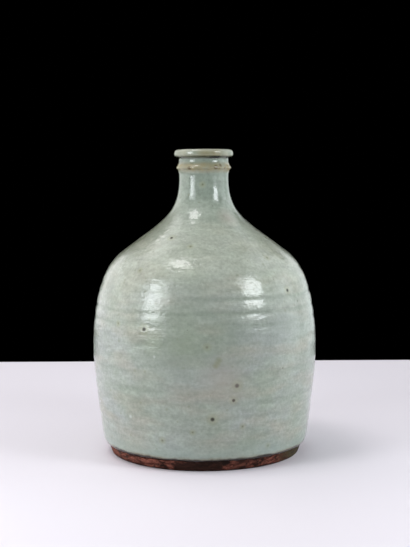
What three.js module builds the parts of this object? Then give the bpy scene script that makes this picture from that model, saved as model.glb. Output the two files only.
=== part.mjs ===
import * as THREE from 'three';

// A wheel-thrown stoneware bottle with a celadon glaze and a bare clay foot.
// Millimetres, +Z up, standing on z = 0 with its axis on Z.
// Each piece is turned round the axis from an outline of points (radius, height).

const segments = 36;

// Coats and joints
const glazeThickness = 0.8;
const fitGap = 0.3;              // left between a coat and the clay, and in a luted joint
const seamGroove = 2;            // how deep the scored V of a luted joint is

// Foot disc, bare clay
const footRadius = 81.1;         // at the glaze line
const footTaper = 2.8;           // how much narrower the bare band is at the table
const footBandHeight = 8.8;      // from the table to the glaze line
const footChamfer = 1;
const footRimWidth = 12;         // flat ring that the bottle stands on
const footRecess = 2.6;          // depth of the turned underside
const footRecessSlope = 3.5;     // width of the recess's sloping edge
const floorThickness = 8.6;
const floorCorner = 18;          // how far the round between floor and wall reaches in

// Body, measured on the outside of the glaze. Each rise starts where the last one ends.
const heelRise = 7.2;
const heelRadius = 85.2;
const heelLean = 0.22;           // radius gained for each millimetre of height
const glazeEdgeLean = 2;         // the coat ends in a rolled edge at the glaze line
const bellyRise = 66;
const bellyRadius = 92.6;
const shoulderRise = 85.5;       // from the belly to where the round shoulder becomes hollow
const shoulderRadius = 65.7;
const shoulderLean = -1.3;
const neckRise = 58.5;           // up to the waist of the neck
const waistRadius = 20.3;

// Clay wall
const wallAtFoot = 8;
const wallAtShoulder = 5.5;
const neckWall = 4.4;

// Throwing rings: grooves that the potter's fingers leave, deeper as they climb
const firstRingRise = 16.8;      // above the heel
const ringPitch = 10.2;
const ringCount = 12;
const lowestRingDepth = 0.2;
const highestRingDepth = 0.45;
const bodySeamRing = 9;          // the luted joint of the body hides in this groove

// String ring on the neck
const stringRingRise = 8.4;      // from the waist to the middle of the ring
const stringRingRadius = 22.6;
const stringRingLand = 1.2;
const stringRingFlare = 5;       // height over which the neck spreads out to the ring
const stringRingFlareRadius = 21.3;
const stringRingLowerFlank = 1.4;
const stringRingUpperFlank = 5;
const collarRadius = 20.4;       // the neck between the string ring and the lip
const collarRise = 8.5;          // from the middle of the ring to the underside of the lip

// Lip and mouth
const lipThickness = 6.3;
const lipRadius = 24.3;
const lipUnderSlope = 0.6;       // how much lower the lip's underside is at the collar
const lipLowerRound = 2.4;
const lipUpperRound = 2.8;
const lipRoundSteps = 3;
const mouthRound = 2;
const mouthRoundSteps = 2;
const mouthGlazeDepth = 14;      // how far down the mouth the outer coat was dipped

// How far each curve keeps its end's direction, as a share of its rise
const heelEdgeHold = 0.34;
const heelHold = 0.29;
const wallFootHold = 0.11;
const wallTopHold = 0.12;
const bellyHold = 0.77;
const shoulderHold = 0.076;
const hollowHold = 0.404;
const neckHold = 0.515;

// Heights that follow from the sizes above
const heelHeight = footBandHeight + heelRise;
const bellyHeight = heelHeight + bellyRise;
const shoulderHeight = bellyHeight + shoulderRise;
const waistHeight = shoulderHeight + neckRise;
const stringRingHeight = waistHeight + stringRingRise;
const lipHeight = stringRingHeight + collarRise;
const bottleHeight = lipHeight + lipThickness;
const coat = glazeThickness + fitGap;

const point = (radius, height) => new THREE.Vector2(radius, height);

// A curve between two heights that leaves and arrives with a given lean
function wallCurve(start, startLean, startHold, end, endLean, endHold) {
  const rise = end.y - start.y;
  const leaving = point(start.x + startLean * startHold * rise, start.y + startHold * rise);
  const arriving = point(end.x - endLean * endHold * rise, end.y - endHold * rise);
  return new THREE.CubicBezierCurve(start, leaving, arriving, end);
}

const glazeEdge = point(footRadius + coat, footBandHeight);
const heel = point(heelRadius, heelHeight);
const belly = point(bellyRadius, bellyHeight);
const shoulderTurn = point(shoulderRadius, shoulderHeight);
const waist = point(waistRadius, waistHeight);

const heelCurve = wallCurve(glazeEdge, glazeEdgeLean, heelEdgeHold / glazeEdgeLean, heel, heelLean, heelHold);
const wallCurves = [
  heelCurve,
  wallCurve(heel, heelLean, wallFootHold, belly, 0, wallTopHold),
  wallCurve(belly, 0, bellyHold, shoulderTurn, shoulderLean, shoulderHold),
  wallCurve(shoulderTurn, shoulderLean, hollowHold, waist, 0, neckHold),
];

// The point of the glazed outside at a height
function outsideAt(height) {
  const curve = wallCurves.find((each) => height <= each.v3.y) ?? wallCurves.at(-1);
  let low = 0;
  let high = 1;
  for (let halving = 0; halving < 40; halving += 1) {
    const middle = (low + high) / 2;
    if (curve.getPoint(middle).y < height) low = middle;
    else high = middle;
  }
  return curve.getPoint(high);
}

// An outline moved sideways into the clay by a depth, with its edges kept parallel.
// The clay is on the left of the outline's way: up the outside, over the lip, down the inside.
function inset(outline, depthAt) {
  const normals = outline.slice(1).map((next, index) => {
    const along = next.clone().sub(outline[index]).normalize();
    return point(-along.y, along.x);
  });
  return outline.map((corner, index) => {
    const before = normals[Math.max(index - 1, 0)];
    const after = normals[Math.min(index, normals.length - 1)];
    const reach = depthAt(corner) / (1 + before.dot(after));
    return corner.clone().add(before.clone().add(after).multiplyScalar(reach));
  });
}

// A rounded corner drawn with straight steps
function roundCorner(centreRadius, centreHeight, round, startAngle, endAngle, steps) {
  return Array.from({ length: steps + 1 }, (_, index) => {
    const angle = THREE.MathUtils.degToRad(startAngle + (endAngle - startAngle) * index / steps);
    return point(centreRadius + round * Math.cos(angle), centreHeight + round * Math.sin(angle));
  });
}

// Heights at which the wall's outline has a point
const sameHeight = 0.001;
const ringHeights = Array.from({ length: ringCount }, (_, index) => (
  heelHeight + firstRingRise + index * ringPitch
));
const lastRing = ringHeights.at(-1);
const bodySeam = ringHeights[bodySeamRing];
const shoulderSteps = 3;
const hollowSteps = 7;
const neckSeamStep = 4;
const stepsBetween = (low, high, count) => Array.from({ length: count }, (_, index) => (
  low + (high - low) * (index + 1) / count
));
const heelMiddle = (footBandHeight + heelHeight) / 2;
const shoulderHeights = stepsBetween(lastRing, shoulderHeight, shoulderSteps);
const hollowHeights = stepsBetween(shoulderHeight, waistHeight, hollowSteps);
const neckSeam = hollowHeights[neckSeamStep - 1];
const outsideHeights = [
  footBandHeight, heelMiddle, heelHeight, ...ringHeights, ...shoulderHeights, ...hollowHeights,
];
const everySecondRing = ringHeights.filter((_, index) => index % 2 === bodySeamRing % 2);
const everySecondHollow = hollowHeights.filter((_, index) => (
  index === hollowSteps - 1 || index % 2 === (neckSeamStep - 1) % 2
));
const insideHeights = [...everySecondRing, ...shoulderHeights, ...everySecondHollow];

// The glazed outside without its rings, from the glaze line to the waist
const outside = outsideHeights.map(outsideAt);

// The same with the rings: the grooves are pressed in, and the crests between them stay out
function pressRings() {
  const ringDepth = (height) => THREE.MathUtils.mapLinear(
    height, ringHeights[0], lastRing, lowestRingDepth, highestRingDepth,
  );
  const crests = ringHeights.map((height) => outsideAt(height - ringPitch / 2));
  const isRing = (height) => ringHeights.some((ring) => Math.abs(ring - height) < sameHeight);
  const pressed = inset(outside, ({ y }) => (isRing(y) ? ringDepth(y) : 0));
  return [...pressed, ...crests].sort((one, other) => one.y - other.y);
}

// String ring, collar, lip and the round of the mouth
const boreRadius = waistRadius - 2 * coat - neckWall;
const ringBottom = stringRingHeight - stringRingLand / 2;
const ringTop = stringRingHeight + stringRingLand / 2;
const roundLip = (round, height, startAngle, endAngle) => (
  roundCorner(lipRadius - round, height, round, startAngle, endAngle, lipRoundSteps)
);
const neckTop = [
  point(waistRadius, ringBottom - stringRingLowerFlank - stringRingFlare),
  point(stringRingFlareRadius, ringBottom - stringRingLowerFlank),
  point(stringRingRadius, ringBottom),
  point(stringRingRadius, ringTop),
  point(collarRadius, ringTop + stringRingUpperFlank),
  point(collarRadius, lipHeight - lipUnderSlope),
  ...roundLip(lipLowerRound, lipHeight + lipLowerRound, -90, 0),
  ...roundLip(lipUpperRound, bottleHeight - lipUpperRound, 0, 90),
  ...roundCorner(boreRadius + mouthRound, bottleHeight - mouthRound, mouthRound, 90, 180, mouthRoundSteps),
];
const coatsMeet = point(boreRadius, bottleHeight - mouthGlazeDepth);

// The glazed inside, from the waist down to the middle of the floor
function glazedInside() {
  const clayWall = ({ y }) => (y < shoulderHeight
    ? THREE.MathUtils.mapLinear(y, heelHeight, shoulderHeight, wallAtFoot, wallAtShoulder)
    : THREE.MathUtils.mapLinear(y, shoulderHeight, waistHeight, wallAtShoulder, neckWall));
  const wall = inset(insideHeights.map(outsideAt), (corner) => clayWall(corner) + 2 * coat);
  wall.at(-1).x = boreRadius;
  const floorHeight = footRecess + floorThickness + coat;
  const floorEdge = point(wall[0].x - floorCorner, floorHeight);
  const corner = new THREE.QuadraticBezierCurve(
    wall[0], point(wall[0].x, floorHeight), floorEdge,
  );
  const cornerSteps = 3;
  return [...wall.slice(1).reverse(), ...corner.getPoints(cornerSteps), point(0, floorHeight)];
}

const inside = glazedInside();
const skin = [...outside, ...neckTop, coatsMeet, ...inside];
const glazeBack = inset(skin, () => glazeThickness);
const clay = inset(skin, () => coat);

// Where each named place lies along the skin
const meetIndex = skin.indexOf(coatsMeet);
const floorEdgeIndex = skin.length - 2;
const outsideIndex = (height) => outsideHeights.indexOf(height);
const insideIndex = (height) => meetIndex + insideHeights.length - insideHeights.indexOf(height);

// Luted joint: a scored V across the wall at a height, read from the inside to the outside.
// The lower piece has the groove and the upper piece the ridge, half the gap to each side.
function lutedJoint(height, side) {
  const outer = clay[outsideIndex(height)];
  const inner = clay[insideIndex(height)];
  const across = outer.clone().sub(inner).normalize();
  const upwards = point(-across.y, across.x);
  const shift = upwards.clone().multiplyScalar(side * fitGap / 2);
  const middle = inner.clone().add(outer).multiplyScalar(0.5).addScaledVector(upwards, -seamGroove);
  return [inner, middle, outer].map((corner) => corner.clone().add(shift));
}

const cutAbove = (height) => lutedJoint(height, 1);
const cutBelow = (height) => lutedJoint(height, -1);

function footOutline() {
  const bandBottom = footRadius - footTaper;
  const rimOuter = bandBottom - footChamfer;
  const rimInner = rimOuter - footRimWidth;
  return [
    point(0, footRecess),
    point(rimInner - footRecessSlope, footRecess),
    point(rimInner, 0),
    point(rimOuter, 0),
    point(bandBottom, footChamfer),
    point(footRadius, footBandHeight),
    point(clay[floorEdgeIndex].x, footBandHeight),
    clay[floorEdgeIndex],
    point(0, clay[floorEdgeIndex].y),
  ];
}

function lowerWallOutline() {
  const seat = footBandHeight + fitGap;
  const innerFoot = clay[floorEdgeIndex].x + fitGap;
  return [
    point(innerFoot, seat),
    point(footRadius, seat),
    ...clay.slice(0, outsideIndex(bodySeam)),
    ...cutBelow(bodySeam).reverse(),
    ...clay.slice(insideIndex(bodySeam) + 1, floorEdgeIndex),
    point(innerFoot, clay[floorEdgeIndex].y),
    point(innerFoot, seat),
  ];
}

function shoulderOutline() {
  const bottom = cutAbove(bodySeam);
  return [
    ...bottom,
    ...clay.slice(outsideIndex(bodySeam) + 1, outsideIndex(neckSeam)),
    ...cutBelow(neckSeam).reverse(),
    ...clay.slice(insideIndex(neckSeam) + 1, insideIndex(bodySeam)),
    bottom[0],
  ];
}

function neckOutline() {
  const bottom = cutAbove(neckSeam);
  return [
    ...bottom,
    ...clay.slice(outsideIndex(neckSeam) + 1, insideIndex(neckSeam)),
    bottom[0],
  ];
}

// The two coats meet in the mouth, half the gap to each side of one height
function outerGlazeOutline() {
  const end = point(boreRadius, coatsMeet.y + fitGap / 2);
  const backEnd = point(boreRadius + glazeThickness, end.y);
  const front = [...pressRings(), ...neckTop, end];
  return [...front, backEnd, ...glazeBack.slice(0, meetIndex).reverse(), front[0]];
}

function innerGlazeOutline() {
  const start = point(boreRadius, coatsMeet.y - fitGap / 2);
  const backStart = point(boreRadius + glazeThickness, start.y);
  return [...glazeBack.slice(meetIndex + 1).reverse(), backStart, start, ...skin.slice(meetIndex + 1)];
}

function turned(name, outline, material) {
  const geometry = new THREE.LatheGeometry(outline, segments);
  geometry.rotateX(Math.PI / 2);
  const mesh = new THREE.Mesh(geometry, material);
  mesh.name = name;
  return mesh;
}

const bareClay = () => new THREE.MeshStandardMaterial({ color: 0x8a4a32, roughness: 0.85, metalness: 0 });
const bodyClay = () => new THREE.MeshStandardMaterial({ color: 0xa9917a, roughness: 0.9, metalness: 0 });
const celadon = () => new THREE.MeshStandardMaterial({ color: 0xb9bfb0, roughness: 0.2, metalness: 0 });

const bottle = new THREE.Group();
bottle.add(
  turned('foot_disc', footOutline(), bareClay()),
  turned('lower_wall', lowerWallOutline(), bodyClay()),
  turned('shoulder', shoulderOutline(), bodyClay()),
  turned('neck', neckOutline(), bodyClay()),
  turned('outer_glaze', outerGlazeOutline(), celadon()),
  turned('inner_glaze', innerGlazeOutline(), celadon()),
);

export default bottle;
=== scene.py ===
import math

import bmesh
import bpy
from mathutils import Matrix, Vector, geometry, noise


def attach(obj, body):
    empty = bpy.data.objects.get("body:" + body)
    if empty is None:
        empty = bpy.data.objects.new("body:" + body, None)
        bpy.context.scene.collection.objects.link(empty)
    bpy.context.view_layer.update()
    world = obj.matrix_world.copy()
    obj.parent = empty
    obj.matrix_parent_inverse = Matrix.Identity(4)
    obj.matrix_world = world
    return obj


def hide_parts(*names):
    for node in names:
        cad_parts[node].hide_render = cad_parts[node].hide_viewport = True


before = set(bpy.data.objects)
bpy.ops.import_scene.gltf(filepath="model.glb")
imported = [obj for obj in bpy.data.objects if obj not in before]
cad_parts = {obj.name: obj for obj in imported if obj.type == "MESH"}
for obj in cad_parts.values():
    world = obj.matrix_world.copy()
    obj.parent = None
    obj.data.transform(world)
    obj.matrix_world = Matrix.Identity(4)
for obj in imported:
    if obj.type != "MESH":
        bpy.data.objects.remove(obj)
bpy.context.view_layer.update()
scene = bpy.context.scene
scene.view_settings.view_transform = "Standard"


# Table. A plain pale board that the bottle stands on, wider than the view and reaching
# past the camera, with nothing behind it but the dark of the studio.
def paint(red, green, blue):
    """A colour as it looks on screen, 0 to 255, as the shader's own values."""
    linear = []
    for channel in (red, green, blue):
        share = channel / 255
        linear.append(share / 12.92 if share <= 0.04045 else ((share + 0.055) / 1.055) ** 2.4)
    return (*linear, 1.0)


def add_node(tree, kind, inputs=None, **settings):
    """Adds a node, sets its options, and fills its inputs with values or other nodes' outputs."""
    node = tree.nodes.new(kind)
    for option, value in settings.items():
        setattr(node, option, value)
    for socket, value in (inputs or {}).items():
        if isinstance(value, bpy.types.NodeSocket):
            tree.links.new(value, node.inputs[socket])
        else:
            node.inputs[socket].default_value = value
    return node


def new_material(name, **surface):
    """A material with plain values set on its shader; returns it, its tree and the shader."""
    material = bpy.data.materials.new(name)
    material.use_nodes = True
    shader = material.node_tree.nodes["Principled BSDF"]
    for socket, value in surface.items():
        shader.inputs[socket.replace("_", " ")].default_value = value
    return material, material.node_tree, shader


def mesh_object(name, bm, material):
    """Turns a bmesh into a smooth-shaded object at the origin."""
    mesh = bpy.data.meshes.new(name)
    bm.to_mesh(mesh)
    bm.free()
    mesh.shade_smooth()
    mesh.materials.append(material)
    made = bpy.data.objects.new(name, mesh)
    scene.collection.objects.link(made)
    return made


TABLE_BACK = 0.445
TABLE_FRONT = -1.1
TABLE_HALF_WIDTH = 0.8
TABLE_PAINT = paint(219, 213, 219)

table_material, _, table_shader = new_material("pale_board", Roughness=0.55)
table_shader.inputs["Base Color"].default_value = TABLE_PAINT
corners = [(-TABLE_HALF_WIDTH, TABLE_FRONT), (TABLE_HALF_WIDTH, TABLE_FRONT),
           (TABLE_HALF_WIDTH, TABLE_BACK), (-TABLE_HALF_WIDTH, TABLE_BACK)]
bm = bmesh.new()
bm.faces.new([bm.verts.new((x, y, 0)) for x, y in corners])
table = mesh_object("table", bm, table_material)


# Studio light. An upright soft box with a brighter core stands on each side in front. Pale walls,
# side panels and high panels brighten the edges, and three panels hang above. The last four lamps
# add light without showing as reflections in the glaze.
WARM = (1.0, 0.978, 0.985)
COOL = (0.95, 1.0, 1.03)
LAMP_AIM = Vector((0, 0, 0.12))


def soft_box(name, azimuth, elevation, distance, width, height, watts, colour, in_gloss=True):
    """A rectangular lamp aimed at the bottle's middle; azimuth 0 is on the camera's side."""
    turn, lift = math.radians(azimuth), math.radians(elevation)
    back = Vector((math.sin(turn) * math.cos(lift), -math.cos(turn) * math.cos(lift), math.sin(lift)))
    lamp = bpy.data.lights.new(name, "AREA")
    lamp.shape = "RECTANGLE"
    lamp.size, lamp.size_y = width, height
    lamp.energy = watts
    lamp.color = colour
    holder = bpy.data.objects.new(name, lamp)
    holder.location = LAMP_AIM + back * distance
    holder.rotation_euler = back.to_track_quat("Z", "Y").to_euler()
    holder.visible_glossy = in_gloss
    holder.visible_camera = False
    scene.collection.objects.link(holder)


# For each lamp: azimuth and elevation in degrees, distance, width and height in metres, watts
soft_box("box_left", -53, 19, 0.75, 0.34, 0.47, 2.2, COOL)
soft_box("core_left", -55.5, 19.5, 0.74, 0.18, 0.31, 1.1, COOL)
soft_box("box_right", 55, 23, 0.75, 0.33, 0.56, 1.0, COOL)
soft_box("core_right", 55, 27, 0.74, 0.23, 0.28, 2.15, COOL)
soft_box("wall_left", -133, 10, 1.4, 0.95, 0.8, 3.0, WARM)
soft_box("wall_right", 138, 8, 1.4, 0.95, 0.8, 2.7, COOL)
soft_box("high_left", -108, 42, 1.5, 1.3, 1.1, 4.4, WARM)
soft_box("high_right", 112, 38, 1.5, 1.2, 1.0, 4.2, COOL)
soft_box("side_left", -92, 8, 1.2, 0.9, 0.8, 3.2, WARM)
soft_box("side_right", 92, 8, 1.2, 0.9, 0.8, 4.0, COOL)
soft_box("panel_above", -50, 68, 1.5, 1.3, 1.1, 2.5, WARM)
soft_box("spot_above", -66, 69.5, 1.4, 0.50, 0.42, 5.2, WARM)
soft_box("sheen_left", -137, 55, 1.4, 0.6, 0.5, 1.0, WARM)
soft_box("low_left", -75, -6, 0.65, 0.5, 0.08, 0.38, WARM, in_gloss=False)
soft_box("low_right", 75, -6, 0.65, 0.5, 0.08, 0.4, COOL, in_gloss=False)
soft_box("low_behind", -163, 25, 1.5, 1.6, 0.5, 8.5, COOL, in_gloss=False)
soft_box("panel_front", 6, 66, 1.4, 1.0, 0.8, 0.9, COOL, in_gloss=False)

# The studio is black where the camera or a reflection sees it, and elsewhere a trace of light
AMBIENT = (0.015, 0.015, 0.016, 1.0)
STUDIO_DARK = (0.0, 0.0, 0.0, 1.0)
world = bpy.data.worlds.new("dark_studio")
scene.world = world
world.use_nodes = True
world_tree = world.node_tree
background = world_tree.nodes["Background"]
paths = add_node(world_tree, "ShaderNodeLightPath").outputs
seen = add_node(world_tree, "ShaderNodeMath", {0: paths["Is Camera Ray"], 1: paths["Is Glossy Ray"]},
                operation="MAXIMUM")
shade = add_node(world_tree, "ShaderNodeMix", {"Factor": seen.outputs[0], "A": AMBIENT, "B": STUDIO_DARK},
                 data_type="RGBA")
world_tree.links.new(shade.outputs["Result"], background.inputs["Color"])


# Camera. It stands in front of the bottle, a little below the lip, and looks slightly down.
CAMERA_AWAY = 0.919
CAMERA_ASIDE = 0.0006
CAMERA_UP = 0.225
CAMERA_PITCH = math.radians(4.862)
CAMERA_ROLL = math.radians(-0.30)
CAMERA_LENS = 73.05
CAMERA_SENSOR = 36

camera_data = bpy.data.cameras.new("camera")
camera_data.lens = CAMERA_LENS
camera_data.sensor_width = CAMERA_SENSOR
camera = bpy.data.objects.new("camera", camera_data)
looking = Matrix.Rotation(math.pi / 2 - CAMERA_PITCH, 4, "X") @ Matrix.Rotation(CAMERA_ROLL, 4, "Z")
camera.matrix_world = Matrix.Translation((CAMERA_ASIDE, -CAMERA_AWAY, CAMERA_UP)) @ looking
scene.collection.objects.link(camera)
scene.camera = camera


# Foot disc. A flat disc of iron-rich clay, cut from the wheel and left bare, so it fired
# red-brown. Its edge shows as the band under the glaze; its underside is turned hollow.
def turn_on_wheel(outline, steps, values=None):
    """Spins an outline of (radius, height) round the axis; values are named numbers for each point."""
    bm = bmesh.new()
    layers = {name: bm.verts.layers.float.new(name) for name in (values or {})}
    points = []
    for index, (radius, height) in enumerate(outline):
        vert = bm.verts.new((radius, 0, height))
        for name, layer in layers.items():
            vert[layer] = values[name][index]
        points.append(vert)
    edges = [bm.edges.new(pair) for pair in zip(points, points[1:])]
    if outline[0][0] > 0 and outline[-1][0] > 0:
        edges.append(bm.edges.new((points[-1], points[0])))
    bmesh.ops.spin(bm, geom=points + edges, cent=(0, 0, 0), axis=(0, 0, 1), angle=2 * math.pi,
                   steps=steps, use_merge=True)
    bmesh.ops.remove_doubles(bm, verts=bm.verts, dist=1e-6)
    bmesh.ops.recalc_face_normals(bm, faces=bm.faces)
    return bm


def stretch(low, high, count):
    """Evenly spaced numbers after low, up to and including high."""
    return [low + (high - low) * (index + 1) / count for index in range(count)]


def new_group(name, inputs, outputs):
    """An empty node group with named sockets; returns it with its own input and output nodes."""
    group = bpy.data.node_groups.new(name, "ShaderNodeTree")
    for socket, (kind, value) in inputs.items():
        made = group.interface.new_socket(socket, in_out="INPUT", socket_type=kind)
        made.default_value = value
    for socket, kind in outputs.items():
        group.interface.new_socket(socket, in_out="OUTPUT", socket_type=kind)
    return group, group.nodes.new("NodeGroupInput"), group.nodes.new("NodeGroupOutput")


def mix_colour(tree, factor, first, second, blend="MIX"):
    """The mix of two colours; returns the output socket."""
    mixed = add_node(tree, "ShaderNodeMix", {"Factor": factor, "A": first, "B": second},
                     data_type="RGBA", blend_type=blend)
    return mixed.outputs["Result"]


def level(tree, value, low, high, to_low=0.0, to_high=1.0):
    """Stretches a value from one range to another, held at both ends; returns the output socket."""
    ranged = add_node(tree, "ShaderNodeMapRange", {"Value": value, "From Min": low, "From Max": high,
                                                   "To Min": to_low, "To Max": to_high})
    return ranged.outputs["Result"]


def calculate(tree, operation, first, second=0.0):
    """One sum on values; returns the output socket."""
    node = add_node(tree, "ShaderNodeMath", {0: first, 1: second}, operation=operation)
    return node.outputs[0]


def noise_at(tree, place, scale, detail=3.0, roughness=0.55):
    """Soft noise at a place; returns its value socket."""
    node = add_node(tree, "ShaderNodeTexNoise", {"Vector": place, "Scale": scale, "Detail": detail,
                                                 "Roughness": roughness})
    return node.outputs["Fac"]


def patchy(tree, place, scale, low, high, to_low=0.0, to_high=1.0, detail=3.0, roughness=0.55):
    """Soft noise stretched from one range to another; returns the output socket."""
    return level(tree, noise_at(tree, place, scale, detail, roughness), low, high, to_low, to_high)


def uneven(tree, place, scale, spread, detail=3.0, roughness=0.55):
    """Noise centred on nought, half the spread either way at most; returns the output socket."""
    centred = calculate(tree, "SUBTRACT", noise_at(tree, place, scale, detail, roughness), 0.5)
    return calculate(tree, "MULTIPLY", centred, spread)


def stretched(tree, place, factors):
    """The place scaled along each axis, which draws noise out into streaks; returns the socket."""
    node = add_node(tree, "ShaderNodeVectorMath", {0: place, 1: factors}, operation="MULTIPLY")
    return node.outputs[0]


def distance_from(tree, place, centre):
    """How far the place is from a point; returns the output socket."""
    node = add_node(tree, "ShaderNodeVectorMath", {0: place, 1: centre}, operation="DISTANCE")
    return node.outputs["Value"]


def shaded(tree, tone, amount):
    """The tone made lighter or darker by a value; returns the output socket."""
    grey = add_node(tree, "ShaderNodeCombineColor", {0: amount, 1: amount, 2: amount})
    return mix_colour(tree, 1.0, tone, grey.outputs[0], "MULTIPLY")


def relief(tree, heights, strength, distance, below=None):
    """Small bumps, laid on the relief below them if there is one; returns the output socket."""
    inputs = {"Height": heights, "Strength": strength, "Distance": distance}
    if below is not None:
        inputs["Normal"] = below
    return add_node(tree, "ShaderNodeBump", inputs).outputs[0]


# Clay grain: fine sand and the fine lines left by the turning tool
SAND_SCALE = 1400.0
LINE_SCALE = 900.0
ALONG_WHEEL = (0.04, 0.04, 1.0)
grain_group, grain_in, grain_out = new_group(
    "clay_grain",
    {"Place": ("NodeSocketVector", (0, 0, 0))},
    {"Sand": "NodeSocketFloat", "Height": "NodeSocketFloat"},
)
where = grain_in.outputs["Place"]
sand = noise_at(grain_group, where, SAND_SCALE, 2.0)
lines = noise_at(grain_group, stretched(grain_group, where, ALONG_WHEEL), LINE_SCALE, 2.0, 0.5)
grain_group.links.new(sand, grain_out.inputs["Sand"])
grain_group.links.new(calculate(grain_group, "ADD", sand, lines), grain_out.inputs["Height"])

PATCHES_DRAWN = (1.0, 1.0, 3.6)
PALE_GAIN = 1.9
BAND_SPREAD = 0.0052
SIDE_SPREAD = 0.09
SAND_RELIEF = 0.0003


def clay_material(name, light, dark, scorch_and_shade_colour, roughness, dark_line_and_shade_bands=(), dark_sides=(), ash_sides=()):
    """Fired clay: two tones in soft patches, dark scorched places, the given dark bands and sides
    (painted shade among them), sand and tool lines.
    """
    material, tree, shader = new_material(name, Specular_IOR_Level=0.1)
    place = add_node(tree, "ShaderNodeTexCoord").outputs["Object"]
    grain = add_node(tree, "ShaderNodeGroup", {"Place": place}, node_tree=grain_group)
    drawn_out = stretched(tree, place, PATCHES_DRAWN)
    patches = patchy(tree, drawn_out, 120.0, 0.42, 0.56, detail=4.0, roughness=0.65)
    tone = mix_colour(tree, patches, light, dark)
    pale = patchy(tree, drawn_out, 210.0, 0.50, 0.60, 0.0, 0.7, roughness=0.6)
    pale_tone = tuple(channel * PALE_GAIN for channel in light[:3]) + (1.0,)
    tone = mix_colour(tree, pale, tone, pale_tone)
    scorch_and_shade_mask = patchy(tree, place, 120.0, 0.50, 0.62, detail=4.0, roughness=0.65)
    if dark_line_and_shade_bands:
        stretches = patchy(tree, place, 17.0, 0.52, 0.60, 0.0, 0.9, roughness=0.6)
        scorch_and_shade_mask = calculate(tree, "MAXIMUM", scorch_and_shade_mask, stretches)
        up = add_node(tree, "ShaderNodeSeparateXYZ", {0: place}).outputs[2]
        from_edge = calculate(tree, "ADD", up, uneven(tree, place, 95.0, BAND_SPREAD))
        for low, high, near, far in dark_line_and_shade_bands:
            band = level(tree, from_edge, low, high, near, far)
            scorch_and_shade_mask = calculate(tree, "MAXIMUM", scorch_and_shade_mask, band)
    for centre, reach, strength in dark_sides:
        wander = uneven(tree, place, 110.0, SIDE_SPREAD, 4.0, 0.65)
        apart = calculate(tree, "ADD", distance_from(tree, place, centre), wander)
        side = level(tree, apart, reach * 0.6, reach, strength, 0.0)
        scorch_and_shade_mask = calculate(tree, "MAXIMUM", scorch_and_shade_mask, side)
    # Scorch marks, dark bands and dark sides share one dark colour; at the foot the bottom band and the
    # front side are painted shade.
    tone = mix_colour(tree, scorch_and_shade_mask, tone, scorch_and_shade_colour)
    for centre, reach, strength, tint in ash_sides:
        near = level(tree, distance_from(tree, place, centre), reach * 0.4, reach, strength, 0.0)
        flecks = patchy(tree, drawn_out, 160.0, 0.44, 0.54, 0.1, 1.0, detail=4.0, roughness=0.65)
        tone = mix_colour(tree, calculate(tree, "MULTIPLY", near, flecks), tone, tint)
    tone = shaded(tree, tone, level(tree, grain.outputs["Sand"], 0.30, 0.70, 0.75, 1.2))
    tree.links.new(tone, shader.inputs["Base Color"])
    dullness = level(tree, scorch_and_shade_mask, 0.0, 1.0, roughness, roughness - 0.25)
    tree.links.new(dullness, shader.inputs["Roughness"])
    bumps = relief(tree, grain.outputs["Height"], 0.6, SAND_RELIEF)
    tree.links.new(bumps, shader.inputs["Normal"])
    return material


FOOT_RADIUS = 0.0811
FOOT_TAPER = 0.0028
BAND_TOP = 0.0088
FOOT_CHAMFER = 0.0010
RIM_WIDTH = 0.012
RECESS_DEPTH = 0.0026
RECESS_SLOPE = 0.0035
FLOOR_TOP = 0.0112
SPIGOT_RADIUS = 0.0594
FOOT_STEPS = 256

# The foot's edges are eased: how far each point stands from the rim or the band, and how high
INNER_EASE, INNER_EASE_UP = 0.0012, 0.0003
OUTER_EASE, OUTER_EASE_UP = 0.0006, 0.0002
BAND_EASE, BAND_EASE_UP = 0.0001, 0.0007

# Dents of the edge, and the ripple and the dish of the turned underside
BROAD_DENT = 0.00022
FINE_DENT = 0.00012
TURNING_RIPPLE = 0.00012
TURNING_DISH = 0.0002

# A dark line runs along the top of the edge, and painted shade along its bottom where it meets the table.
# Of the dark sides, the one at the front is painted shade; the others darken the right front and the back
# left.
DARK_LINE_AND_SHADE_BANDS = [(0.0068, 0.0084, 0.0, 1.0), (0.0008, 0.0020, 0.8, 0.0)]
DARK_SIDES = [((-0.006, -0.080, 0.004), 0.028, 0.88), ((0.069, -0.042, 0.004), 0.016, 0.60),
              ((-0.044, 0.067, 0.004), 0.040, 0.70)]

# Where fly ash melted on the clay it left an olive skin
OLIVE_ASH = paint(70, 63, 40)
ASH_SIDES = [((0.072, -0.036, 0.0060), 0.028, 0.85, OLIVE_ASH),
             ((-0.020, 0.077, 0.0050), 0.028, 0.85, OLIVE_ASH)]

bare_clay = clay_material("bare_clay", paint(108, 65, 54), paint(66, 33, 26), paint(25, 13, 7), 0.85,
                          DARK_LINE_AND_SHADE_BANDS, DARK_SIDES, ASH_SIDES)
band_bottom = FOOT_RADIUS - FOOT_TAPER
rim_outer = band_bottom - FOOT_CHAMFER
rim_inner = rim_outer - RIM_WIDTH
foot_outline = [(0, RECESS_DEPTH)]
foot_outline += [(radius, RECESS_DEPTH) for radius in stretch(0, rim_inner - RECESS_SLOPE, 16)]
foot_outline += [(rim_inner - INNER_EASE, INNER_EASE_UP), (rim_inner, 0)]
foot_outline += [(radius, 0) for radius in stretch(rim_inner, rim_outer, 8)]
foot_outline += [(rim_outer + OUTER_EASE, OUTER_EASE_UP), (band_bottom - BAND_EASE, BAND_EASE_UP)]
foot_outline += [(band_bottom + FOOT_TAPER * share, FOOT_CHAMFER + (BAND_TOP - FOOT_CHAMFER) * share)
                 for share in stretch(-0.05, 1, 22)]
foot_outline += [(SPIGOT_RADIUS, BAND_TOP), (SPIGOT_RADIUS, FLOOR_TOP), (0, FLOOR_TOP)]
bm = turn_on_wheel(foot_outline, FOOT_STEPS)
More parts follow.
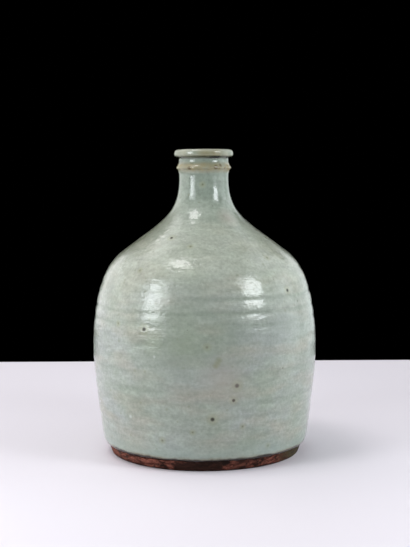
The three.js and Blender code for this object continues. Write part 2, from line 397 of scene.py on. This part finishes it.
for vert in bm.verts:
    x, y, z = vert.co
    reach = math.hypot(x, y)
    angle = math.atan2(y, x)
    if reach > rim_outer - 0.0001 and z <= BAND_TOP:
        around = Vector((math.cos(angle) * 3, math.sin(angle) * 3, z * 500))
        dent = BROAD_DENT * (noise.noise(around) - 0.5) + FINE_DENT * (noise.noise(around * 4) - 0.5)
        vert.co.x += dent * math.cos(angle)
        vert.co.y += dent * math.sin(angle)
    elif z < RECESS_DEPTH + 0.0001 and reach < rim_inner - RECESS_SLOPE:
        vert.co.z += TURNING_RIPPLE * math.sin(reach * 1500) + TURNING_DISH * (1 - reach / rim_inner)
foot = mesh_object("foot_clay", bm, bare_clay)
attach(foot, "root")
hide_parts("foot_disc")


# Body clay. The lower wall, the shoulder and the neck were thrown one by one and luted
# together with slip. The glaze covers all of them, so they keep the solids' own shape.
body_clay = clay_material("body_clay", paint(170, 142, 118), paint(148, 118, 96), paint(110, 84, 68), 0.9)
for node in ("lower_wall", "shoulder", "neck"):
    clay_piece = bpy.data.objects[node]
    clay_piece.data.materials.clear()
    clay_piece.data.materials.append(body_clay)


# Outer glaze. The bottle was dipped in a thin celadon that pooled in the throwing grooves,
# broke to buff on the string ring and the lip, and ended in a rolled edge above the foot.
HEEL = Vector((0.0852, 0.0160))
BELLY = Vector((0.0926, 0.0820))
SHOULDER = Vector((0.0657, 0.1675))
WAIST = Vector((0.0203, 0.2260))
GLAZE_THICKNESS = 0.0008
MOUTH_GLAZE_DEPTH = 0.014
BORE = 0.0137
TOP = 0.2492
GLAZE_STEPS = 256


def wall_curve(start, start_lean, start_hold, end, end_lean, end_hold, count):
    """A curve between two points that leaves and arrives with a given lean."""
    rise = end.y - start.y
    leaving = start + Vector((start_lean, 1)) * start_hold * rise
    arriving = end - Vector((end_lean, 1)) * end_hold * rise
    corners = [point.to_3d() for point in (start, leaving, arriving, end)]
    return geometry.interpolate_bezier(*corners, count)


glaze_edge = Vector((0.0822, BAND_TOP))
body = []
for curve in (
    wall_curve(glaze_edge, 2, 0.17, HEEL, 0.22, 0.29, 16),
    wall_curve(HEEL, 0.22, 0.11, BELLY, 0, 0.12, 70),
    wall_curve(BELLY, 0, 0.77, SHOULDER, -1.3, 0.076, 95),
    wall_curve(SHOULDER, -1.3, 0.404, WAIST, 0, 0.515, 62),
):
    body += [(point.x, point.y) for point in curve[:-1]]


def rounded(centre, radius, start, end, count):
    """Points of an arc, from one angle to another in degrees."""
    turns = [math.radians(start + (end - start) * index / (count - 1)) for index in range(count)]
    across, up = centre
    return [(across + radius * math.cos(turn), up + radius * math.sin(turn)) for turn in turns]


def between(first, second, count):
    """Points on a straight line after the first, short of the second."""
    across, up = second[0] - first[0], second[1] - first[1]
    return [(first[0] + across * step / count, first[1] + up * step / count) for step in range(1, count)]


flare_start = Vector((0.0203, 0.2274))
flare_end = Vector((0.0213, 0.2324))
ring_tip = rounded((0.0209, 0.2344), 0.0017, -65, 52, 9)
ring_high = (0.0204, 0.2402)
under_lip = (0.0204, 0.2422)
LIP_CURL, LIP_CURL_RADIUS = (0.0219, 0.2453), 0.0024
LIP_CROWN, LIP_CROWN_RADIUS = (0.0215, 0.2464), 0.0028
MOUTH_ROUNDING = 0.002
mouth_edge = BORE + MOUTH_ROUNDING
flare = wall_curve(flare_start, 0, 0.4, flare_end, 0.32, 0.4, 8)
ring_slope = wall_curve(Vector(ring_tip[-1]), -0.5, 0.45, Vector(ring_high), 0, 0.3, 10)
neck_line = [tuple(WAIST), *[(point.x, point.y) for point in flare],
             *between(flare_end, ring_tip[0], 3), *ring_tip,
             *[(point.x, point.y) for point in ring_slope[1:]], under_lip,
             *rounded(LIP_CURL, LIP_CURL_RADIUS, -105, 0, 10),
             *rounded(LIP_CROWN, LIP_CROWN_RADIUS, 0, 90, 10),
             *between((LIP_CROWN[0], TOP), (mouth_edge, TOP), 6),
             *rounded((mouth_edge, TOP - MOUTH_ROUNDING), MOUTH_ROUNDING, 90, 180, 7),
             *between((BORE, TOP - MOUTH_ROUNDING), (BORE, TOP - MOUTH_GLAZE_DEPTH), 8),
             (BORE, TOP - MOUTH_GLAZE_DEPTH)]
front = body + neck_line


def set_in(outline, depth):
    """The outline moved sideways towards the clay."""
    moved = []
    for index, place in enumerate(outline):
        before = Vector(outline[max(index - 1, 0)])
        after = Vector(outline[min(index + 1, len(outline) - 1)])
        along = (after - before).normalized()
        moved.append((place[0] - along.y * depth, place[1] + along.x * depth))
    return moved


back = set_in(front[::4] + [front[-1]], GLAZE_THICKNESS)
outline = front + back[::-1]
is_front = [1.0] * len(front) + [0.0] * len(back)
bm = turn_on_wheel(outline, GLAZE_STEPS, {"front": is_front})

# Blisters in the coat: angle in degrees from the front, height, half width and rise
BLISTERS = [(-45.0, 0.1795, 0.0030, 0.00050), (-40.0, 0.1815, 0.0026, 0.00045),
            (-42.0, 0.1770, 0.0024, 0.00040), (-34.0, 0.1810, 0.0024, 0.00040),
            (-2.5, 0.1178, 0.0020, 0.00014)]

# Throwing grooves in the order that the fingers climbed: height, depth, half width, and how much
# deeper they are on the right than on the left
GROOVES = [
    (0.0319, 0.00020, 0.0024, 0.0), (0.0428, 0.00028, 0.0024, 0.2), (0.0533, 0.00030, 0.0024, 0.0),
    (0.0630, 0.00024, 0.0024, -0.3), (0.0762, 0.00030, 0.0028, 0.0), (0.0872, 0.00030, 0.0026, 0.2),
    (0.0990, 0.00026, 0.0024, 0.0), (0.1131, 0.00032, 0.0021, 0.0), (0.1228, 0.00052, 0.0019, 0.0),
    (0.1332, 0.00024, 0.0020, 1.9), (0.1406, 0.00018, 0.0018, -0.6),
]
GROOVE_REACH = 0.012
GROOVE_SWAY = 0.0011
SHADE_ABOVE_GROOVE = 0.0009
POOL_AND_SHADE_UNIT = 0.0005

# Slow and fine swells of the wall, which fade out below the neck
SLOW_SWELL = 0.00022
FINE_SWELL = 0.0001
FADE_TOP = 0.205
FADE_LENGTH = 0.02

# Waves of the glaze line, strongest at the edge and gone at a little height above it
EDGE_WAVE = 0.0008
EDGE_RIPPLE = 0.0004
EDGE_WAVE_TOP = 0.014
EDGE_WAVE_SPAN = 0.0052

front_layer = bm.verts.layers.float["front"]
pool_and_shade_layer = bm.verts.layers.float.new("pool_and_shade")
for vert in bm.verts:
    x, y, z = vert.co
    angle = math.atan2(y, x)
    around = Vector((math.cos(angle), math.sin(angle), 0))
    pool_and_shade = 0.0
    move = 0.0
    for index, (height, depth, half_width, rightward) in enumerate(GROOVES):
        if abs(z - height) < GROOVE_REACH:
            sway = GROOVE_SWAY * noise.noise(around * 1.3 + Vector((0, 0, index * 3.7)))
            press = 0.85 + 0.6 * noise.noise(around * 1.9 + Vector((5, 0, index * 5.1)))
            press = max(press * (1 + rightward * around.x), 0.1)
            away = z - height - sway
            move -= depth * press * math.exp(-((away / half_width) ** 2))
            # Each groove darkens the coat: the glaze pooled in it, and painted shade set a little above
            # it, where the groove's upper wall faces down.
            pooled_and_shaded = math.exp(-(((away - SHADE_ABOVE_GROOVE) / half_width) ** 2))
            pool_and_shade += depth * press * pooled_and_shaded / POOL_AND_SHADE_UNIT
    for turn, height, half_width, rise in BLISTERS:
        turned = math.remainder(angle + math.pi / 2 - math.radians(turn), 2 * math.pi)
        apart = turned * math.hypot(x, y)
        move += rise * math.exp(-(apart ** 2 + (z - height) ** 2) / half_width ** 2)
    swell = Vector((x * 28, y * 28, z * 42))
    move += SLOW_SWELL * (noise.noise(swell) - 0.6) + FINE_SWELL * noise.noise(swell * 3.1)
    fade = min(max((FADE_TOP - z) / FADE_LENGTH, 0.0), 1.0) * vert[front_layer]
    vert.co.x += move * around.x * fade
    vert.co.y += move * around.y * fade
    if z < EDGE_WAVE_TOP:
        wave = EDGE_WAVE * noise.noise(around * 7) + EDGE_RIPPLE * noise.noise(around * 19)
        vert.co.z += wave * (EDGE_WAVE_TOP - z) / EDGE_WAVE_SPAN
    vert[pool_and_shade_layer] = pool_and_shade * fade


# Glaze depth: slow drifts of colour, streaks that follow the wheel, and fine mottling. For each
# pattern: how the place is stretched and shifted, then the noise's scale, detail and roughness
UNSTRETCHED = (1.0, 1.0, 1.0)
UNSHIFTED = (0.0, 0.0, 0.0)
DEPTH_PATTERNS = {
    "Drift": (UNSTRETCHED, UNSHIFTED, 14.0, 2.0, 0.45),
    "Streak": ((1.0, 1.0, 2.6), UNSHIFTED, 26.0, 2.0, 0.45),
    "Mottle": (UNSTRETCHED, UNSHIFTED, 420.0, 3.0, 0.6),
    "Flash": (UNSTRETCHED, (3.1, 1.7, 0.4), 22.0, 3.0, 0.55),
    "Peel": (UNSTRETCHED, UNSHIFTED, 260.0, 2.0, 0.5),
    "Band": ((0.10, 0.10, 1.0), UNSHIFTED, 150.0, 3.0, 0.55),
    "Cloud": ((1.0, 1.0, 2.6), UNSHIFTED, 85.0, 2.0, 0.65),
    "Ridge": ((1.0, 1.0, 4.0), UNSHIFTED, 130.0, 2.0, 0.5),
}
depth_group, depth_in, depth_out = new_group(
    "glaze_depth",
    {"Place": ("NodeSocketVector", (0, 0, 0))},
    {pattern: "NodeSocketFloat" for pattern in DEPTH_PATTERNS},
)
for pattern, (factors, shift, scale, detail, roughness) in DEPTH_PATTERNS.items():
    moved = add_node(depth_group, "ShaderNodeVectorMath",
                     {0: depth_in.outputs["Place"], 1: factors, 2: shift}, operation="MULTIPLY_ADD")
    value = noise_at(depth_group, moved.outputs[0], scale, detail, roughness)
    depth_group.links.new(value, depth_out.inputs[pattern])

# Iron specks: scattered cells, of which a few hold a small dark dot
speck_group, speck_in, speck_out = new_group(
    "iron_specks",
    {"Place": ("NodeSocketVector", (0, 0, 0)), "Scale": ("NodeSocketFloat", 100.0),
     "Share": ("NodeSocketFloat", 0.1), "Size": ("NodeSocketFloat", 0.1)},
    {"Mask": "NodeSocketFloat"},
)
cells = add_node(speck_group, "ShaderNodeTexVoronoi", {
    "Vector": speck_in.outputs["Place"], "Scale": speck_in.outputs["Scale"], "Randomness": 1.0})
cell_parts = add_node(speck_group, "ShaderNodeSeparateColor", {0: cells.outputs["Color"]})
picked = calculate(speck_group, "LESS_THAN", cell_parts.outputs[0], speck_in.outputs["Share"])
own_size = calculate(speck_group, "MULTIPLY", speck_in.outputs["Size"],
                     calculate(speck_group, "ADD", cell_parts.outputs[1], 0.4))
nearness = calculate(speck_group, "SUBTRACT", 1.0,
                     calculate(speck_group, "DIVIDE", cells.outputs["Distance"], own_size))
speck_group.links.new(calculate(speck_group, "MULTIPLY", picked, level(speck_group, nearness, 0.0, 0.5)),
                      speck_out.inputs["Mask"])


def specks(tree, place, scale, share, size):
    """Mask of scattered specks; returns the output socket."""
    node = add_node(tree, "ShaderNodeGroup",
                    {"Place": place, "Scale": scale, "Share": share, "Size": size},
                    node_tree=speck_group)
    return node.outputs["Mask"]


def laid_over(tree, tone, mask, strength, colour):
    """Lays a colour over the tone where the mask is, at a strength; returns the output socket."""
    return mix_colour(tree, calculate(tree, "MULTIPLY", mask, strength), tone, colour)


def near_height(tree, height, middle, full, gone, strength=1.0):
    """Mask of a level stripe: strong within one distance of its middle, gone beyond another."""
    apart = calculate(tree, "ABSOLUTE", calculate(tree, "SUBTRACT", height, middle))
    return level(tree, apart, full, gone, strength, 0.0)


CELADON = paint(149, 157, 147)
CELADON_GREEN = paint(139, 149, 133)
CELADON_GREY = paint(150, 156, 151)
BUFF_FLASH = paint(155, 152, 138)
PINK_FLASH = paint(163, 149, 139)
WARM_NECK = paint(163, 167, 152)
POOLED_AND_SHADED = paint(121, 133, 118)
OLIVE_AND_SHADE_SIDE = paint(113, 117, 101)
DEEP_GREY = paint(124, 133, 123)
THIN_BUFF = paint(140, 132, 102)
THIN_BROWN = paint(96, 79, 40)
SPECK = paint(42, 40, 28)
FAINT_SPECK = paint(84, 86, 68)
SPECK_HALO = paint(140, 142, 112)
IRON = paint(62, 52, 38)
IRON_FAINT = paint(116, 118, 96)
SLATE_NECK = paint(124, 136, 124)
WHITE_SPOT = paint(186, 192, 184)
PAINTED_GLINT = paint(196, 198, 186)
OLIVE_BLOB = paint(118, 122, 88)
GREEN_CLOUD = paint(126, 139, 108)
CHIP = paint(78, 62, 28)
LIP_BUFF = paint(152, 151, 128)
LIP_OLIVE = paint(128, 122, 92)
PAINTED_LIP_LIGHT = paint(178, 178, 164)
PAINTED_LIP_SHADOW = paint(66, 68, 48)
PAINTED_CREASE_SHADE = paint(24, 22, 12)
EDGE_POOL = paint(140, 156, 147)
EDGE_BUFF = paint(126, 110, 86)
EDGE_LINE = paint(38, 28, 18)

celadon, tree, shader = new_material("celadon", Specular_IOR_Level=0.5, IOR=1.5)
place = add_node(tree, "ShaderNodeTexCoord").outputs["Object"]
depth = add_node(tree, "ShaderNodeGroup", {"Place": place}, node_tree=depth_group).outputs
pool_and_shade = add_node(tree, "ShaderNodeAttribute", attribute_name="pool_and_shade").outputs["Fac"]
height = add_node(tree, "ShaderNodeSeparateXYZ", {0: place}).outputs[2]

# Drifts of colour in the coat, one over the other: what each follows, its range and strength. The groove
# tint is the glaze pooled there together with painted shade.
tone = CELADON
for follows, low, high, strength, colour in (
    (depth["Drift"], 0.38, 0.62, 0.8, CELADON_GREEN),
    (depth["Flash"], 0.42, 0.66, 0.9, CELADON_GREY),
    (depth["Streak"], 0.48, 0.70, 0.6, BUFF_FLASH),
    (height, 0.108, 0.160, 0.60, WARM_NECK),
    (height, 0.178, 0.214, 0.85, SLATE_NECK),
    (pool_and_shade, 0.1, 1.3, 0.60, POOLED_AND_SHADED),
    (depth["Band"], 0.50, 0.68, 0.18, POOLED_AND_SHADED),
):
    tone = mix_colour(tree, level(tree, follows, low, high, 0.0, strength), tone, colour)
mottle = calculate(tree, "MULTIPLY", level(tree, depth["Mottle"], 0.3, 0.7, 0.85, 1.10),
                   level(tree, depth["Cloud"], 0.3, 0.7, 0.88, 1.12))
tone = shaded(tree, tone, mottle)
tone = laid_over(tree, tone, specks(tree, place, 240.0, 0.10, 0.30), 0.38, IRON_FAINT)
tone = laid_over(tree, tone, specks(tree, place, 150.0, 0.09, 0.13), 0.6, IRON)

MOUTH_WITHIN = 0.019


def marks(places, softness):
    """Mask of round marks at (angle in degrees from the front, height, radius) on the glaze."""
    mask = None
    for turn, up, radius in places:
        reach = min(front, key=lambda point: abs(point[1] - up) if point[0] > MOUTH_WITHIN else 1)[0]
        turned = math.radians(turn)
        apart = distance_from(tree, place, (reach * math.sin(turned), -reach * math.cos(turned), up))
        mark = level(tree, apart, radius * (1 - softness), radius, 1.0, 0.0)
        mask = mark if mask is None else calculate(tree, "MAXIMUM", mask, mark)
    return mask


# The larger iron specks with their olive haloes: a few dark ones, and faint ones deeper in the coat
DARK_SPECKS = [(-30.5, 0.1110, 0.0021), (15.5, 0.0688, 0.0022), (14.0, 0.0574, 0.0017),
               (3.7, 0.0430, 0.0021), (49.4, 0.1381, 0.0018), (-30.6, 0.1791, 0.0017),
               (112.0, 0.0840, 0.0018), (171.0, 0.1290, 0.0018)]
FAINT_SPECKS = [(34.8, 0.0182, 0.0014), (44.3, 0.1634, 0.0014), (-10.4, 0.1728, 0.0013),
                (1.1, 0.0988, 0.0016), (19.1, 0.0363, 0.0013), (-2.7, 0.2207, 0.0013),
                (-6.2, 0.0327, 0.0012), (-39.8, 0.1547, 0.0012), (-47.8, 0.1134, 0.0013),
                (-22.3, 0.0249, 0.0014), (-118.0, 0.0530, 0.0013), (-152.0, 0.1010, 0.0014)]
HALO_WIDTH = 2.8
haloes = [(turn, up, radius * HALO_WIDTH) for turn, up, radius in DARK_SPECKS + FAINT_SPECKS]
tone = laid_over(tree, tone, marks(haloes, 0.9), 0.55, SPECK_HALO)
tone = laid_over(tree, tone, marks(DARK_SPECKS, 0.55), 1.0, SPECK)
tone = laid_over(tree, tone, marks(FAINT_SPECKS, 0.7), 0.6, FAINT_SPECK)

# White spots, painted glints on the blisters of the shoulder, and one olive blob
WHITE_SPOTS = [(-41.0, 0.0410, 0.0018), (-24.5, 0.0906, 0.0016)]
PAINTED_GLINTS = [(-45.9, 0.1798, 0.0030), (-42.8, 0.1829, 0.0022), (-43.6, 0.1768, 0.0026),
              (-40.8, 0.1799, 0.0028), (-42.0, 0.1846, 0.0018)]
BLOBS = [(6.7, 0.0886, 0.0034), (6.0, 0.0868, 0.0034), (5.2, 0.0848, 0.0032)]
tone = laid_over(tree, tone, marks(WHITE_SPOTS, 0.7), 0.7, WHITE_SPOT)
glint_gaps = level(tree, depth["Ridge"], 0.42, 0.56, 0.1, 0.85)
# Painted glints: pale streaks standing in for highlights on the blisters.
tone = laid_over(tree, tone, marks(PAINTED_GLINTS, 0.6), glint_gaps, PAINTED_GLINT)
tone = laid_over(tree, tone, marks(BLOBS, 0.8), 0.9, OLIVE_BLOB)

# Wide soft clouds: green at the left, olive glaze with painted shade on both shoulders' edges, grey over
# the middle, two blushes
GREEN_CLOUDS = [(-11.4, 0.0990, 0.020), (-24.0, 0.1010, 0.014)]
OLIVE_AND_SHADE_LEFT = [(-100.0, 0.1790, 0.049)]
OLIVE_AND_SHADE_RIGHT = [(102.0, 0.1780, 0.047)]
DEEP_CLOUDS = [(-2.0, 0.1300, 0.030), (38.0, 0.1130, 0.032), (-12.0, 0.0890, 0.030),
               (6.0, 0.0880, 0.030), (12.0, 0.1100, 0.028)]
BLUSHES = [(9.0, 0.0720, 0.024), (37.0, 0.1940, 0.012)]
tone = laid_over(tree, tone, marks(GREEN_CLOUDS, 0.95), 0.38, GREEN_CLOUD)
# Olive glaze on the shoulders' edges, darkened further with painted shade where the edges turn away from
# the light.
tone = laid_over(tree, tone, marks(OLIVE_AND_SHADE_LEFT, 0.5), 0.85, OLIVE_AND_SHADE_SIDE)
tone = laid_over(tree, tone, marks(OLIVE_AND_SHADE_RIGHT, 0.5), 0.5, OLIVE_AND_SHADE_SIDE)
tone = laid_over(tree, tone, marks(DEEP_CLOUDS, 0.9), 0.38, DEEP_GREY)
tone = laid_over(tree, tone, marks(BLUSHES, 0.95), 0.38, PINK_FLASH)

# String ring and lip: the coat is thin there and the clay shows through it. Shadow is painted under the
# lip and in the crease below it, and light along the top of the lip.
RING_MIDDLE = 0.2345
RING_CREST = 0.2342
LIP_START, LIP_FULL = 0.2424, 0.2436
LIT_RIM_START, LIT_RIM_FULL = 0.2468, 0.2486
PAINTED_LIP_SHADOW_HEIGHT = 0.2428
CREASE_HEIGHT = 0.2426
CHIPS = [(-31.5, 0.2337, 0.0022), (26.0, 0.2346, 0.0024), (38.0, 0.2362, 0.0020)]
LIP_OLIVES = [(4.0, 0.2448, 0.0100), (24.0, 0.2452, 0.0110)]
PAINTED_CREASE_SHADE_SPOTS = [(26.5, 0.2425, 0.0066)]
ring_gaps = patchy(tree, place, 140.0, 0.25, 0.60, 0.35, 1.0)
ring = near_height(tree, height, RING_MIDDLE, 0.0020, 0.0052)
tone = laid_over(tree, tone, ring, ring_gaps, THIN_BUFF)
crest = near_height(tree, height, RING_CREST, 0.0004, 0.0016)
tone = laid_over(tree, tone, crest, patchy(tree, place, 230.0, 0.60, 0.68), THIN_BROWN)
tone = laid_over(tree, tone, marks(CHIPS, 0.7), 0.85, CHIP)
lip = level(tree, height, LIP_START, LIP_FULL)
tone = laid_over(tree, tone, lip, patchy(tree, place, 90.0, 0.35, 0.65, 0.25, 0.75), LIP_BUFF)
olive_on_lip = calculate(tree, "MULTIPLY", lip, marks(LIP_OLIVES, 0.8))
tone = laid_over(tree, tone, olive_on_lip, 0.75, LIP_OLIVE)
# Painted light along the top of the lip.
tone = mix_colour(tree, level(tree, height, LIT_RIM_START, LIT_RIM_FULL, 0.0, 0.45), tone, PAINTED_LIP_LIGHT)
# Painted shadow on the underside of the lip.
painted_lip_shadow = near_height(tree, height, PAINTED_LIP_SHADOW_HEIGHT, 0.0005, 0.0017, 0.75)
tone = mix_colour(tree, painted_lip_shadow, tone, PAINTED_LIP_SHADOW)
# Painted shade in the crease under the lip, darkest at one side.
crease = near_height(tree, height, CREASE_HEIGHT, 0.0006, 0.0013)
crease_shade_strength = calculate(tree, "MAXIMUM", patchy(tree, place, 60.0, 0.42, 0.66, 0.15, 0.6),
                         marks(PAINTED_CREASE_SHADE_SPOTS, 0.5))
tone = laid_over(tree, tone, crease, crease_shade_strength, PAINTED_CREASE_SHADE)

# Rolled edge: the coat pools bluish above it, thins to buff, and stops at a ragged dark line
EDGE_RAGGEDNESS = 0.0040
tone = mix_colour(tree, level(tree, height, 0.0150, 0.0260, 0.45, 0.0), tone, EDGE_POOL)
above_edge = calculate(tree, "ADD", height, uneven(tree, place, 80.0, EDGE_RAGGEDNESS))
buff = level(tree, above_edge, 0.0104, 0.0128, 0.9, 0.0)
tone = laid_over(tree, tone, buff, patchy(tree, place, 55.0, 0.40, 0.62, 0.2, 1.0), EDGE_BUFF)
tone = mix_colour(tree, level(tree, above_edge, 0.0100, 0.0114, 1.0, 0.0), tone, EDGE_LINE)
tree.links.new(tone, shader.inputs["Base Color"])

# The neck is smoother than the body, and the lip smoother still
gloss = calculate(tree, "ADD", level(tree, depth["Mottle"], 0.35, 0.7, 0.05, 0.12),
                  level(tree, depth["Cloud"], 0.35, 0.62, 0.0, 0.11))
on_neck = calculate(tree, "MULTIPLY", level(tree, height, 0.1900, 0.2080, 1.0, 0.4),
                    level(tree, height, 0.2360, 0.2430, 1.0, 0.4))
tree.links.new(calculate(tree, "MULTIPLY", gloss, on_neck), shader.inputs["Roughness"])
COARSE_RELIEF = 0.0004
FINE_RELIEF = 0.0002
ridges = relief(tree, calculate(tree, "MULTIPLY", depth["Ridge"], on_neck), 0.7, COARSE_RELIEF)
peel = relief(tree, calculate(tree, "MULTIPLY", depth["Peel"], on_neck), 0.6, COARSE_RELIEF, ridges)
fine_peel = relief(tree, depth["Mottle"], 0.4, FINE_RELIEF, peel)
tree.links.new(fine_peel, shader.inputs["Normal"])

coat = mesh_object("glaze_coat", bm, celadon)
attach(coat, "root")
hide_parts("outer_glaze")


# Inner glaze. A liner of the same celadon, poured in and swilled round, so it is plainer.
liner, tree, shader = new_material("liner", Specular_IOR_Level=0.5)
place = add_node(tree, "ShaderNodeTexCoord").outputs["Object"]
depth = add_node(tree, "ShaderNodeGroup", {"Place": place}, node_tree=depth_group).outputs
tone = mix_colour(tree, level(tree, depth["Drift"], 0.35, 0.65), CELADON, CELADON_GREEN)
tone = laid_over(tree, tone, specks(tree, place, 130.0, 0.05, 0.09), 0.7, IRON)
tree.links.new(tone, shader.inputs["Base Color"])
tree.links.new(level(tree, depth["Streak"], 0.35, 0.7, 0.2, 0.35), shader.inputs["Roughness"])
liner_piece = bpy.data.objects["inner_glaze"]
liner_piece.data.materials.clear()
liner_piece.data.materials.append(liner)
